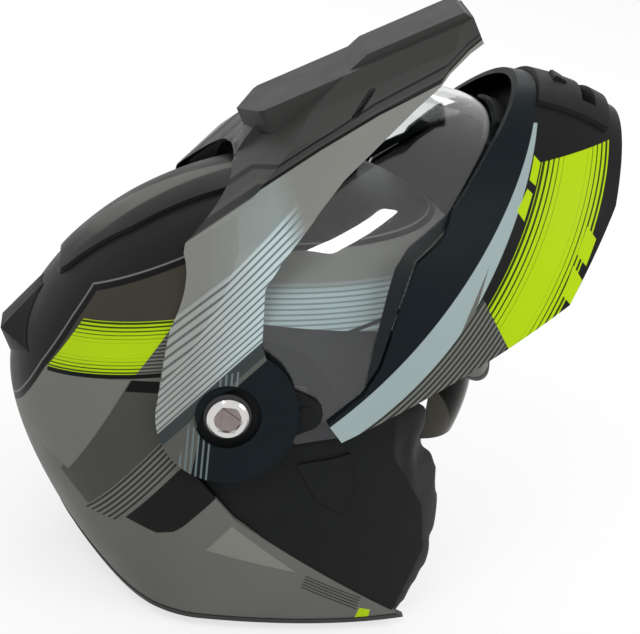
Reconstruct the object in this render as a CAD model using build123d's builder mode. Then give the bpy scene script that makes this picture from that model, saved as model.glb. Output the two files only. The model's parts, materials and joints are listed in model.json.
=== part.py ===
from build123d import *
from math import asin, cos, degrees, radians, sin, sqrt
import os

# Dual sport helmet with a flip-up chin bar, shown with the chin bar, shield and peak
# raised and the inner sun visor lowered.
# Millimetres. +X is the wearer's front, +Y the wearer's left, +Z up. The origin lies on
# the plane the helmet stands on, below the hinge axis and midway between the sides.
# Levels and reaches are measured from the hinge axis, which runs along Y.

os.makedirs("parts", exist_ok=True)

# Hinge axis and opening angles
pivot_height = 144.0
chin_open_angle = 68.0
running_gap = 0.3
pin_clearance = 0.06
overrun = 40.0
full_width = 400.0

# Outer shell
half_width = 120.0
widest_level = -10.0
base_half_width = 101.0
crown_reach = 55.0
crown_level = 115.0
rear_reach = 175.0
rear_widest_level = -25.0
rear_tuck = 62.0
front_reach = 110.0
front_flare = 25.0
widest_reach = 5.0
crown_shift = 45.0
base_level = -134.0
side_power_share = 2.2
rear_power_share = 1.8
shell_wall = 4.0
nape_reach = -84.0
nape_level = -104.0
rim_start_reach = -22.0
brow_level = 9.0
brow_side_level = 50.0
brow_side_reach = 84.0

# Seam between the shell and the closed chin bar
seam_angle = 32.0
shell_seam_distance = 48.0
chin_seam_distance = 46.0
seam_start = 47.0
chin_seam_end = 193.0
pocket_rear_reach = -30.0

# Side frames in the hinge recess
frame_face = 111.0
frame_wall = 4.0
frame_inset = 1.0

# Impact liner
liner_inset = 6.5
liner_face = 106.5
liner_wall = 34.0
comfort_wall = 7.0
comfort_gap = 0.4

# Chin bar, sizes taken with the chin bar closed
chin_reach = 236.0
chin_tip_level = -127.0
chin_middle = 20.0
chin_half_width = 120.0
chin_bottom_level = -142.0
chin_bottom_half_width = 109.0
chin_round_level = -85.0
chin_bow_share = 0.0033
chin_wall = 4.0
chin_liner_reach = 200.0
chin_liner_half_width = 113.0
chin_ledge_level = -79.0

# Hinge arms of the chin bar
arm_inner_face = 111.4
arm_wall = 2.3
arm_eye_radius = 19.0
bolt_radius = 4.0

# Face shield, sizes taken closed
shield_half_width = 116.7
shield_wall = 2.3
shield_middle = 40.0
shield_low_reach = 203.0
shield_low_level = -76.0
shield_top_reach = 168.5
shield_top_level = 25.0
shield_bow = 5.0
shield_eye_radius = 23.0
shield_travel = 2.0

# Sun visor
sun_pivot_reach = 45.0
sun_radius = 110.5
sun_half_width = 100.0
sun_wall = 2.0
sun_low_angle = -17.0
sun_high_angle = 22.0
sun_edge = 74.0
sun_travel = 42.0
sun_outer_room = 25.0
sun_inner_room = 2.3
sun_side_room = 3.0

# Peak, sizes taken raised, as built: reach along its pitch, side and level across it
peak_pitch = 32.0
peak_wall = 2.8
peak_face = 124.6
peak_section = ((28.0, 122.5), (40.0, 114.0), (66.0, 106.5), (90.0, 93.5), (108.0, 78.5),
                (118.0, 64.0), (124.6, 44.0))
peak_edge = ((75.0, 124.6), (109.0, 108.0), (173.0, 72.0))
peak_lip = ((184.0, 51.0), (200.0, 30.0), (209.5, 22.0))
peak_front = ((0.0, 0.0), (31.5, -8.0), (31.7, 18.5), (33.6, 31.0), (47.0, 57.5), (61.6, 66.6),
              (74.4, 72.7), (89.8, 80.5), (108.6, 88.5), (124.7, 93.3), (158.0, 102.0),
              (175.2, 105.9))
peak_rear = ((56.0, 101.5), (50.7, 99.9), (32.2, 93.8), (13.9, 84.0), (-3.2, 60.9),
             (-15.9, 45.1), (-29.0, 27.0))
peak_shoulder = ((-15.9, -112.0, 45.1), (13.9, -77.0, 84.0), (42.5, -124.6, 68.0))
peak_hip = ((13.9, -77.0, 84.0), (50.7, -24.0, 99.9), (90.0, -62.0, 107.5))
spine_outline = ((66.0, 112.0), (66.0, 122.5), (140.0, 122.5), (140.0, 119.5), (110.0, 116.0),
                 (80.0, 107.5))
spine_plan = ((66.0, 0.0), (78.0, 25.0), (81.0, 28.0), (140.0, 28.0))
neck_outline = ((52.0, 99.4), (64.0, 108.0), (73.0, 113.0), (90.0, 116.0), (90.0, 110.4))
neck_half_width = 14.0
front_ridge = ((130.0, 121.0), (147.0, 127.0), (206.0, 127.0), (209.5, 121.0))
front_ridge_half_width = 22.0
peak_slot_centre = (134.0, 52.0)
peak_slot_length = 26.0
peak_slot_width = 4.5
peak_slot_turn = 50.0
peak_boss_radius = 39.0
peak_recess_radius = 18.5
peak_recess_depth = 2.2
peak_travel = 12.0
peak_travel_steps = 4
crown_clearance = 4.0

# Pivot bolts, washers and nuts
bolt_inner_face = 103.7
bolt_flange_radius = 11.0
bolt_flange_wall = 3.0
washer_radius = 13.0
washer_wall = 1.4
nut_radius = 11.5
nut_wall = 4.6
nut_bevel = 1.3
nut_bore_depth = 2.4
nut_recess_radius = 8.4
nut_recess_depth = 1.5
nut_star_radius = 7.0
nut_star_rise = 0.9
recess_clearance = 1.0

# Outlines in reach and level, sizes taken closed
shield_edge = ((14.0, -40.0), (21.0, -50.0), (45.0, -58.5), (63.0, -59.0), (92.0, -53.0),
               (120.0, -48.5), (180.0, -71.0), (203.0, -76.0))
shield_top = ((168.0, 10.0), (70.0, 19.0), (10.0, 21.5))
shield_edge_gap = 1.5
chin_rise = ((138.0, -56.8), (152.0, -55.0), (184.0, -60.0), (225.0, -68.0))
chin_bottom_rise = ((238.0, -131.0), (196.0, -142.0))
chin_liner_top = ((80.0, -61.0), (92.0, -57.0), (120.0, -52.5), (136.0, -58.0),
                  (180.0, -75.0), (203.0, -79.0))
chin_liner_bottom = ((238.0, -130.0), (196.0, -140.0), (139.0, -139.5))
chin_liner_gap = 0.3
arm_inner_outline = ((-17.0, -8.0), (2.0, -45.0), (15.5, -44.5), (33.0, -31.0), (18.5, 5.0))
arm_outer_outline = ((0.0, -34.0), (1.0, -44.0), (16.0, -62.5), (45.0, -80.0),
                     (45.0, -61.0), (21.5, -52.0), (12.5, -39.5), (10.0, -30.0))
arm_outer_face = 113.5
lobe_outline = ((44.0, -29.0), (58.0, -49.0), (74.0, -58.0), (79.0, -45.0), (73.0, -20.0))
lobe_rise = 1.8
frame_top_edge = ((3.0, 49.6), (84.0, 49.6), (98.0, 46.0))
frame_front_edge = ((96.0, 10.0), (100.0, -25.0), (125.0, -60.0), (132.0, -90.0))
frame_seam_end = 172.0
frame_near = 40.0

# Shield side covers
cover_inner_face = 117.0
cover_wall = 2.3
cover_radius = 27.0
cover_tail_centre = (20.0, -38.0)
cover_tail_radius = 9.5
icon_radius = 5.0
icon_rise = 0.7

# Chin bar vent, button and breath guard, sizes taken closed
vent_half_width = 36.0
vent_rise = 3.0
vent_outline = ((180.0, -78.0), (250.0, -78.0), (250.0, -122.0), (180.0, -122.0))
vent_mouth = ((180.0, -104.0), (250.0, -104.0), (250.0, -113.0), (180.0, -113.0))
vent_mouth_half_width = 24.0
chin_slider_level = -91.0
chin_slider_face = 232.3
chin_slider_size = (3.6, 15.0, 8.0)
chin_slider_travel = 6.0
guard_half_width = 36.0
guard_reach = 195.0
guard_half_spread = 108.0
guard_wall = 1.8
guard_low_level = -96.0
guard_high_level = -63.0
button_reach = 213.0
button_size = (11.0, 26.0, 9.0)
button_travel = 3.0
button_low_level = -141.5
tab_half_width = 30.0
tab_low_level = -73.0
tab_high_level = -66.0
tab_rise = 2.4

# Crown fairing with its vent slider, rear spoiler and edge trims
fairing_rise = 2.5
fairing_outline = ((45.0, 17.0), (20.0, 30.0), (-60.0, 34.0), (-98.0, 24.0))
vent_pad_reach = 45.0
vent_pad_level = 115.2
vent_pad_tilt = 3.0
vent_pad_size = (40.0, 26.0, 6.0)
vent_pad_top = 3.4
vent_pocket_size = (31.0, 18.6, 2.0)
top_slider_size = (21.0, 18.0, 3.0)
top_slider_travel = 8.0
spoiler_levels = (-26.0, -8.0, 40.0)
spoiler_rises = (-1.0, 9.5, -1.0)
spoiler_tip_half_widths = (5.0, 12.0, 8.0)
spoiler_depth = 19.0
trim_rise = 0.6
trim_inset = 5.0
trim_gap = 0.45
trim_wall = 3.2
trim_start_reach = 100.5

# Interior pads
eps_outline = ((-150.0, -93.0), (-45.0, -93.0), (-24.0, -40.0), (-22.0, 6.0), (112.0, 6.0),
               (175.0, 15.0), (175.0, 150.0), (-150.0, 150.0))
comfort_outline = ((-150.0, -62.0), (-45.0, -62.0), (-20.0, 9.0), (100.0, 9.0),
                   (175.0, 13.0), (175.0, 150.0), (-150.0, 150.0))
channel_half_width = 6.0
channel_spacing = 34.0
channel_depth = 3.5
channel_length = 180.0
pad_outline = ((46.0, 1.0), (120.0, 1.0), (137.0, -34.0), (149.0, -74.0), (147.0, -104.0),
               (126.0, -144.5), (64.0, -144.5), (46.0, -118.0))
pad_faces = (60.5, 62.5, 68.0, 94.0, 104.0)
pad_insets = (13.0, 5.0, 0.6, 0.0, 6.0)
pad_corner = 8.0
stand_level = -144.0
seam_groove = ((40.0, -82.0), (160.0, -88.0), (160.0, -91.5), (40.0, -85.5))
front_groove = ((104.0, -20.0), (108.0, -20.0), (122.0, -84.0), (118.0, -84.0))
groove_face = 65.5
neck_upper = ((-130.0, -93.3), (40.0, -93.3), (40.0, -136.0), (-22.0, -137.0),
              (-84.0, -107.0), (-130.0, -98.0))
neck_lower = ((-62.0, -108.0), (40.0, -108.0), (40.0, -134.0), (24.0, -138.0),
              (5.0, -144.0), (-44.0, -144.0))
neck_upper_insets = (8.0, 34.0)
neck_lower_insets = (28.0, 46.0)

# Chin strap
strap_origin = (-5.0, -35.0)
strap_drop = 38.0
strap_width = 24.0
strap_wall = 2.0
strap_start_side = 101.6
strap_side = 57.0
strap_turn = 45.0
strap_length = 146.0
anchor_face = 103.0
anchor_wall = 3.6
anchor_size = (16.0, 30.0)
anchor_pin_radius = 3.0
buckle_along = 75.0
buckle_size = (26.0, 29.0, 8.8)
buckle_outer_side = 59.4
lever_size = (22.0, 20.0, 2.6)

# Slider of the sun visor on the left rim
lug_outline = ((-12.0, -110.0), (40.0, -110.0), (40.0, -127.0), (-12.0, -127.0))
lug_rise = 3.0
lug_tilt = 14.0
lug_level = -118.5
lug_side = 105.6
lug_reach = 14.0
lug_pocket_size = (42.0, 10.6, 3.0)
lever_knob_size = (19.0, 10.0, 4.6)
lever_knob_travel = 20.0


def power_arc(share, power):
    """Height of a rounded quarter whose corner fullness grows with the power."""
    return (1 - share ** power) ** (1 / power)


def shell_sizes(level, inset):
    """Rear and front reach, half width and place of the widest point at a level."""
    top = crown_level - inset
    if level > rear_widest_level:
        share = (level - rear_widest_level) / (top - rear_widest_level)
        rear = crown_reach - (rear_reach - inset) * power_arc(share, rear_power_share)
    else:
        share = (rear_widest_level - level) / (rear_widest_level - base_level)
        rear = crown_reach - (rear_reach - inset) + rear_tuck * share ** 1.7
    if level > 0:
        front = crown_reach + (front_reach - inset) * power_arc(level / top, 2)
    else:
        front = crown_reach + front_reach - inset + front_flare * level / base_level
    if level > widest_level:
        share = (level - widest_level) / (top - widest_level)
        side = (half_width - inset) * power_arc(share, side_power_share)
    else:
        share = (widest_level - level) / (widest_level - base_level)
        side = half_width - inset - (half_width - base_half_width) * share ** 1.8
    middle = widest_reach + crown_shift * (max(level, 0) / top) ** 1.5
    return rear, middle, front, side


def shell_form(inset):
    """Solid egg of the shell, made smaller all round by the inset."""
    low_shares = (1.12, 1.0, 0.75, 0.45, 0.19)
    high_shares = (0.09, 0.34, 0.55, 0.73, 0.86, 0.945, 0.985)
    levels = [base_level * share for share in low_shares]
    levels += [(crown_level - inset) * share for share in high_shares]
    with BuildPart() as form:
        for level in levels:
            rear, middle, front, side = shell_sizes(level, inset)
            rear = min(rear, middle - side / 4)
            with BuildSketch(Plane.XY.offset(pivot_height + level)):
                with BuildLine():
                    EllipticalCenterArc((middle, 0), front - middle, side, -90, arc_size=180)
                    EllipticalCenterArc((middle, 0), middle - rear, side, 90, arc_size=180)
                make_face()
        loft()
    return form.part


def level_plane(turn, level):
    """Plane at a level of a body that is turned up about the hinge axis."""
    angle = radians(turn)
    plane = Plane((0, 0, pivot_height), x_dir=(cos(angle), 0, sin(angle)),
                  z_dir=(-sin(angle), 0, cos(angle)))
    return plane.offset(level)


def side_plane(turn, face=0):
    """Upright plane through the hinge axis, facing the wearer's right."""
    angle = radians(turn)
    return Plane((0, 0, pivot_height), x_dir=(cos(angle), 0, sin(angle)),
                 z_dir=(0, -1, 0)).offset(face)


def seam_point(along, distance):
    """Point of the slanting seam, in reach and level."""
    angle = radians(seam_angle)
    return (along * cos(angle) - distance * sin(angle),
            -along * sin(angle) - distance * cos(angle))


def chin_form(inset, side_inset):
    """Solid of the chin bar's outer form, filled in and not yet trimmed."""
    level_shares = (1.15, 1.0, 0.88, 0.7, 0.48, 0.2)
    with BuildPart() as form:
        for share in level_shares:
            level = chin_bottom_level * share
            bow = chin_bow_share * (level - chin_tip_level) ** 2
            reach = chin_reach - inset - bow - chin_middle
            drop = max(chin_round_level - level, 0) / (chin_round_level - chin_bottom_level)
            side = chin_half_width - side_inset
            side -= (chin_half_width - chin_bottom_half_width) * drop ** 2
            with BuildSketch(level_plane(chin_open_angle, level)):
                with BuildLine():
                    EllipticalCenterArc((chin_middle, 0), reach, side, -90, arc_size=180)
                    Polyline((chin_middle, side), (-chin_middle, side),
                             (-chin_middle, -side), (chin_middle, -side))
                make_face()
        loft()
    return form.part


def shield_form(inset):
    """Solid inside the shield's outer surface."""
    rise = shield_top_level - shield_low_level
    level_shares = (-0.25, 0.1, 0.45, 0.8, 1.15)
    with BuildPart() as form:
        for share in level_shares:
            level = shield_low_level + rise * share
            reach = shield_low_reach + (shield_top_reach - shield_low_reach) * share
            reach += shield_bow * 4 * share * (1 - share) - inset - shield_middle
            side = shield_half_width - inset
            with BuildSketch(level_plane(chin_open_angle, level)):
                with BuildLine():
                    EllipticalCenterArc((shield_middle, 0), reach, side, -90, arc_size=180)
                    Polyline((shield_middle, side), (-shield_middle, side),
                             (-shield_middle, -side), (shield_middle, -side))
                make_face()
        loft()
    return form.part


def block(outline, turn=0, near=-full_width, far=full_width):
    """Prism of a side-view outline between two distances to the wearer's right."""
    with BuildPart() as prism:
        with BuildSketch(side_plane(turn, near)):
            with BuildLine():
                Polyline(*outline, close=True)
            make_face()
        extrude(amount=far - near)
    return prism.part


def disc(radius, near, far, centre=(0, 0), turn=0):
    """Round plate about an axis along Y, between two distances to the right."""
    with BuildPart() as plate:
        with BuildSketch(side_plane(turn, near)):
            with Locations(centre):
                Circle(radius)
        extrude(amount=far - near)
    return plate.part


def layer(outer_inset, inner_inset):
    """Wall between two forms of the shell."""
    with BuildPart() as wall:
        add(shell_form(outer_inset))
        add(shell_form(inner_inset), mode=Mode.SUBTRACT)
    return wall.part


def visor_turning(outer_shift, inner_shift, edge, low_angle, high_angle):
    """Sector of the sun visor's curved wall, or of the space it needs."""
    angle = radians(low_angle)
    plane = Plane((sun_pivot_reach, 0, pivot_height), x_dir=(cos(angle), 0, sin(angle)),
                  z_dir=(-sin(angle), 0, cos(angle)))
    half_angle = degrees(asin(edge / sun_half_width))
    with BuildPart() as turning:
        with BuildSketch(plane):
            with BuildLine():
                outer = EllipticalCenterArc((0, 0), sun_radius + outer_shift, sun_half_width,
                                            -half_angle, arc_size=2 * half_angle)
                inner = EllipticalCenterArc((0, 0), sun_radius + inner_shift, sun_half_width,
                                            -half_angle, arc_size=2 * half_angle)
                Line(outer @ 0, inner @ 0)
                Line(outer @ 1, inner @ 1)
            make_face()
        revolve(axis=Axis(plane.origin, (0, -1, 0)), revolution_arc=high_angle - low_angle)
    return turning.part


def save(part, name):
    part.label = name
    export_step(part, "parts/" + name + ".step")


def save_pair(part, name):
    save(part, name + "_right")
    save(mirror(part, about=Plane.XZ), name + "_left")


outer_form = shell_form(0)
wall_form = shell_form(shell_wall)

# Corner points of the window that the painted shell leaves round the face and hinge
seam_low = seam_point(seam_start * 5, shell_seam_distance)
seam_high = seam_point(seam_start, shell_seam_distance)
pocket_low = (pocket_rear_reach, seam_high[1] + 44.0)
pocket_high = (pocket_rear_reach, 24.0)
window_rear_top = (2.0, brow_side_level)
window_front_top = (brow_side_reach, brow_side_level)
brow_point = (crown_reach + front_reach - 8.0, brow_level)

with BuildPart() as window:
    with BuildSketch(side_plane(0)):
        with BuildLine():
            Polyline(seam_low, seam_high, pocket_low, pocket_high, window_rear_top,
                     window_front_top)
            Spline(window_front_top, brow_point, tangents=[(1, 0), (1, -0.2)])
            Polyline(brow_point, (brow_point[0] + overrun, brow_level),
                     (brow_point[0] + overrun * 2, seam_low[1]), seam_low)
        make_face()
    extrude(amount=full_width, both=True)

# Region below the rim, which rises to the nape
with BuildPart() as below_rim:
    with BuildSketch(side_plane(0)):
        with BuildLine():
            Polyline((nape_reach - overrun * 2, nape_level + 16.0), (nape_reach, nape_level))
            Spline((nape_reach, nape_level), (rim_start_reach, base_level),
                   tangents=[(1, -0.35), (1, -0.05)])
            Polyline((rim_start_reach, base_level), (full_width, base_level),
                     (full_width, base_level - overrun * 2),
                     (nape_reach - overrun * 2, base_level - overrun * 2),
                     (nape_reach - overrun * 2, nape_level + 16.0))
        make_face()
    extrude(amount=full_width, both=True)

with BuildPart() as outer_shell:
    add(outer_form)
    add(wall_form, mode=Mode.SUBTRACT)
    add(window.part, mode=Mode.SUBTRACT)
    add(below_rim.part, mode=Mode.SUBTRACT)
save(outer_shell.part, "outer_shell")


# Side frame: black recess wall that the closed chin bar and shield lie on
frame_rear = [seam_point(frame_seam_end, shell_seam_distance - running_gap),
              seam_point(seam_start, shell_seam_distance - running_gap),
              (pocket_low[0] + running_gap, pocket_low[1]),
              (pocket_high[0] + running_gap, pocket_high[1])]
frame_outline = frame_rear + list(frame_top_edge) + list(frame_front_edge)

with BuildPart() as frame_hollow:
    add(shell_form(frame_inset + frame_wall))
    add(block(frame_outline, far=frame_face - frame_wall), mode=Mode.INTERSECT)

with BuildPart() as frame_lobe:
    add(shell_form(frame_inset - lobe_rise))
    add(block(lobe_outline, near=frame_face - overrun, far=frame_face + lobe_rise),
        mode=Mode.INTERSECT)
    add(shell_form(frame_inset + frame_wall / 2), mode=Mode.SUBTRACT)

with BuildPart() as side_frame:
    add(shell_form(frame_inset))
    add(block(frame_outline, near=frame_near, far=frame_face), mode=Mode.INTERSECT)
    add(frame_hollow.part, mode=Mode.SUBTRACT)
    add(frame_lobe.part)
    add(disc(bolt_radius + pin_clearance, frame_near, half_width), mode=Mode.SUBTRACT)
save_pair(side_frame.part, "side_frame")

# Pivot bolt, black washer and bright cap nut with a six-sided recess
washer_face = peak_face - peak_recess_depth + running_gap
nut_face = washer_face + washer_wall
bolt_end = nut_face + nut_bore_depth - running_gap
with BuildPart() as pivot_bolt:
    add(disc(bolt_radius, bolt_inner_face, bolt_end))
    add(disc(bolt_flange_radius, bolt_inner_face, bolt_inner_face + bolt_flange_wall))
save_pair(pivot_bolt.part, "pivot_bolt")

with BuildPart() as pivot_washer:
    add(disc(washer_radius, washer_face, nut_face))
    add(disc(bolt_radius + pin_clearance, 0, full_width), mode=Mode.SUBTRACT)
save_pair(pivot_washer.part, "pivot_washer")

with BuildPart() as pivot_nut:
    add(disc(nut_radius, nut_face, nut_face + nut_wall))
    chamfer(faces().sort_by(Axis.Y)[0].edges(), nut_bevel)
    with BuildSketch(side_plane(0, nut_face + nut_wall - nut_recess_depth)):
        RegularPolygon(nut_recess_radius, 6)
        RegularPolygon(nut_star_radius, 3, mode=Mode.SUBTRACT)
    extrude(amount=nut_recess_depth, mode=Mode.SUBTRACT)
    with BuildSketch(side_plane(0, nut_face + nut_wall - nut_recess_depth + nut_star_rise)):
        RegularPolygon(nut_star_radius, 3)
    extrude(amount=nut_recess_depth, mode=Mode.SUBTRACT)
    add(disc(bolt_radius + pin_clearance, 0, nut_face + nut_bore_depth), mode=Mode.SUBTRACT)
save_pair(pivot_nut.part, "pivot_nut")

# Chin bar: painted shell, trimmed in the side view
chin_top = [(reach, level - shield_edge_gap) for reach, level in shield_edge[1:6]]
chin_outline = [seam_point(chin_seam_end, chin_seam_distance),
                seam_point(seam_start, chin_seam_distance)]
chin_outline += chin_top + list(chin_rise)
chin_outline += [(chin_reach + overrun, chin_rise[-1][1]),
                 (chin_reach + overrun, chin_bottom_rise[0][1])]
chin_outline += list(chin_bottom_rise)

mouth_cut = block(vent_mouth, turn=chin_open_angle, near=-vent_mouth_half_width,
                  far=vent_mouth_half_width)

with BuildPart() as chin_bar_shell:
    add(chin_form(0, 0))
    add(chin_form(chin_wall, chin_wall), mode=Mode.SUBTRACT)
    add(block(chin_outline, turn=chin_open_angle), mode=Mode.INTERSECT)
    add(mouth_cut, mode=Mode.SUBTRACT)
save(chin_bar_shell.part, "chin_bar_shell")

# Chin bar liner: fills the bar behind the painted shell and makes its inner ledge
chin_liner_outline = list(chin_liner_top)
chin_liner_outline += [(chin_reach + overrun, chin_ledge_level),
                       (chin_reach + overrun, chin_liner_bottom[0][1])]
chin_liner_outline += list(chin_liner_bottom)
button_pocket = [size + running_gap * 2 for size in button_size]

with BuildPart() as chin_space:
    with BuildSketch(level_plane(chin_open_angle, chin_bottom_level - overrun)):
        with BuildLine():
            EllipticalCenterArc((chin_middle, 0), chin_liner_reach - chin_middle,
                                chin_liner_half_width, -90, arc_size=180)
            Polyline((chin_middle, chin_liner_half_width), (-chin_middle, chin_liner_half_width),
                     (-chin_middle, -chin_liner_half_width),
                     (chin_middle, -chin_liner_half_width))
        make_face()
    extrude(amount=full_width / 2)

button_plane = level_plane(chin_open_angle, button_low_level)
with BuildPart() as chin_bar_liner:
    add(chin_form(chin_wall + chin_liner_gap, chin_wall + chin_liner_gap))
    add(block(chin_liner_outline, turn=chin_open_angle), mode=Mode.INTERSECT)
    add(chin_space.part, mode=Mode.SUBTRACT)
    with BuildSketch(button_plane.offset(-button_travel)):
        with Locations((button_reach, 0)):
            Rectangle(button_pocket[0], button_pocket[1])
    extrude(amount=button_pocket[2] + button_travel * 2, mode=Mode.SUBTRACT)
    add(mouth_cut, mode=Mode.SUBTRACT)
save(chin_bar_liner.part, "chin_bar_liner")

with BuildPart() as release_button:
    with BuildSketch(button_plane):
        with Locations((button_reach, 0)):
            RectangleRounded(button_size[0], button_size[1], button_size[0] / 4)
    extrude(amount=button_size[2])
save(release_button.part, "release_button")

# Hinge arm: inner plate round the bolt, outer plate against the chin bar's wall
with BuildPart() as hinge_arm:
    add(chin_form(chin_wall + chin_liner_gap, chin_wall + chin_liner_gap))
    add(block(arm_outer_outline, chin_open_angle, arm_outer_face, half_width),
        mode=Mode.INTERSECT)
    add(disc(arm_eye_radius, arm_inner_face, arm_inner_face + arm_wall))
    add(block(arm_inner_outline, chin_open_angle, arm_inner_face, arm_inner_face + arm_wall))
    add(disc(bolt_radius + pin_clearance, 0, full_width), mode=Mode.SUBTRACT)
save_pair(hinge_arm.part, "hinge_arm")

# Chin vent: raised cover with a mouth and a flat that the slider runs on
slider_plane = Plane(level_plane(chin_open_angle, chin_slider_level).from_local_coords(
    (chin_slider_face, 0, 0)), x_dir=(0, 1, 0),
    z_dir=(cos(radians(chin_open_angle)), 0, sin(radians(chin_open_angle))))
with BuildPart() as chin_vent_cover:
    add(chin_form(-vent_rise, -vent_rise))
    add(chin_form(-running_gap, -running_gap), mode=Mode.SUBTRACT)
    add(block(vent_outline, chin_open_angle, -vent_half_width, vent_half_width),
        mode=Mode.INTERSECT)
    add(mouth_cut, mode=Mode.SUBTRACT)
    with BuildSketch(slider_plane):
        Rectangle(chin_slider_size[1] + chin_slider_travel + running_gap * 2,
                  chin_slider_size[2] + running_gap * 2)
    extrude(amount=overrun, mode=Mode.SUBTRACT)
save(chin_vent_cover.part, "chin_vent_cover")

# Breath guard behind the ledge, its foot against the liner
guard_foot_wall = chin_liner_reach - guard_reach - running_gap
with BuildPart() as breath_guard:
    for top_level, wall in ((guard_high_level, guard_wall), (chin_ledge_level, guard_foot_wall)):
        with BuildSketch(level_plane(chin_open_angle, guard_low_level)):
            with Locations((chin_middle, 0)):
                Ellipse(guard_reach + wall - chin_middle, guard_half_spread + wall)
        extrude(amount=top_level - guard_low_level)
    with BuildSketch(level_plane(chin_open_angle, guard_low_level)):
        with Locations((chin_middle, 0)):
            Ellipse(guard_reach - chin_middle, guard_half_spread)
    extrude(amount=overrun, mode=Mode.SUBTRACT)
    add(block(((chin_liner_reach - overrun, 0), (chin_liner_reach, 0),
               (chin_liner_reach, -full_width), (chin_liner_reach - overrun, -full_width)),
              chin_open_angle, -guard_half_width, guard_half_width), mode=Mode.INTERSECT)
save(breath_guard.part, "breath_guard")

# Chin vent slider
with BuildPart() as chin_vent_slider:
    with BuildSketch(slider_plane.offset(running_gap)):
        with Locations((-chin_slider_travel / 2, 0)):
            Rectangle(chin_slider_size[1], chin_slider_size[2])
    extrude(amount=chin_slider_size[0])
    chamfer(faces().sort_by(Axis(slider_plane.origin, slider_plane.z_dir))[-1].edges(),
            chin_slider_size[0] / 4)
save(chin_vent_slider.part, "chin_vent_slider")

# Clear face shield with its ears, edge trimmed in the side view
shield_outline = list(shield_edge)
shield_outline += [(shield_low_reach + overrun, shield_low_level),
                   (shield_low_reach + overrun, shield_top[0][1])]
shield_outline += list(shield_top)

with BuildPart() as face_shield:
    add(shield_form(0))
    add(shield_form(shield_wall), mode=Mode.SUBTRACT)
    add(block(shield_outline, turn=chin_open_angle), mode=Mode.INTERSECT)
    for side in (1, -1):
        near = min(side * shield_half_width, side * (shield_half_width - shield_wall))
        add(disc(shield_eye_radius, near, near + shield_wall))
    add(disc(bolt_radius + pin_clearance, -full_width, full_width), mode=Mode.SUBTRACT)
save(face_shield.part, "face_shield")

with BuildPart() as shield_cover:
    with BuildSketch(side_plane(chin_open_angle, cover_inner_face)):
        Circle(cover_radius)
        with Locations(cover_tail_centre):
            Circle(cover_tail_radius)
        make_hull()
        Circle(bolt_radius + pin_clearance, mode=Mode.SUBTRACT)
    extrude(amount=cover_wall)
    add(disc(icon_radius, cover_inner_face, cover_inner_face + cover_wall + icon_rise,
             cover_tail_centre, chin_open_angle))
save_pair(shield_cover.part, "shield_cover")

with BuildPart() as shield_tab:
    add(shield_form(-tab_rise))
    add(shield_form(-running_gap), mode=Mode.SUBTRACT)
    add(block(((0, tab_low_level), (full_width, tab_low_level), (full_width, tab_high_level),
               (0, tab_high_level)), chin_open_angle, -tab_half_width, tab_half_width),
        mode=Mode.INTERSECT)
save(shield_tab.part, "shield_tab")

# Peak: roof with leaning sides that run into the hinge arms, hollow below
def both_sides(points):
    """Outline closed by its own mirror image."""
    return list(points) + [(reach, -side) for reach, side in reversed(points) if side > 0]


def section_space(inset):
    """Space below the peak's roof line, drawn across the pitch and moved in by the inset."""
    angle = radians(peak_pitch)
    plane = Plane((0, 0, pivot_height), x_dir=(0, 1, 0), z_dir=(cos(angle), 0, sin(angle)))
    rise = 1 if plane.y_dir.Z > 0 else -1
    half = [(side, rise * level) for side, level in peak_section]
    half += [(peak_face, -rise * full_width / 2)]
    with BuildPart() as space:
        with BuildSketch(plane):
            with BuildLine():
                Polyline(*half, *[(-side, level) for side, level in reversed(half)], close=True)
            make_face()
            if inset > 0:
                offset(amount=-inset, kind=Kind.INTERSECTION)
        extrude(amount=full_width, both=True)
    return space.part


def plan_prism(plan, low=-half_width, high=full_width):
    """Prism of a plan drawn along the peak's pitch."""
    with BuildPart() as prism:
        with BuildSketch(level_plane(peak_pitch, low)):
            with BuildLine():
                Polyline(*plan, close=True)
            make_face()
        extrude(amount=high - low)
    return prism.part


def beyond_facet(corners, inset):
    """Everything outside a flat side of the peak that runs through three points."""
    frame = level_plane(peak_pitch, 0)
    first, second, third = [frame.from_local_coords(corner) for corner in corners]
    normal = (second - first).cross(third - first)
    if normal.Y > 0:
        normal = -normal
    plane = Plane(first, x_dir=second - first, z_dir=normal).offset(-inset)
    with BuildPart() as beyond:
        with BuildSketch(plane):
            Rectangle(full_width * 2, full_width * 2)
        extrude(amount=full_width)
    return beyond.part


def peak_form(inset):
    """Solid under the peak's outer surfaces, or its hollow where an inset is given."""
    edge = [(reach - inset / 2, side - inset) for reach, side in peak_edge]
    front = [(reach - inset, side - inset) for reach, side in peak_lip]
    with BuildPart() as form:
        add(section_space(inset))
        add(plan_prism(both_sides([(-full_width, peak_face - inset)] + edge + front)),
            mode=Mode.INTERSECT)
        for facet in (peak_shoulder, peak_hip):
            beyond = beyond_facet(facet, inset)
            add(beyond, mode=Mode.SUBTRACT)
            add(mirror(beyond, about=Plane.XZ), mode=Mode.SUBTRACT)
    return form.part


peak_outline = list(peak_front)
peak_outline += [(peak_lip[-1][0] + overrun, peak_front[-1][1]),
                 (peak_lip[-1][0] + overrun, full_width), (peak_rear[0][0], full_width)]
peak_outline += list(peak_rear)
peak_inner_face = peak_face - peak_wall
# Room that the crown needs while the peak is lowered
crown_room = shell_form(-crown_clearance)
hinge_axis = Axis((0, 0, pivot_height), (0, -1, 0))

with BuildPart() as peak_spine:
    add(block(spine_outline, turn=peak_pitch))
    add(plan_prism(both_sides(spine_plan)), mode=Mode.INTERSECT)

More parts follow.
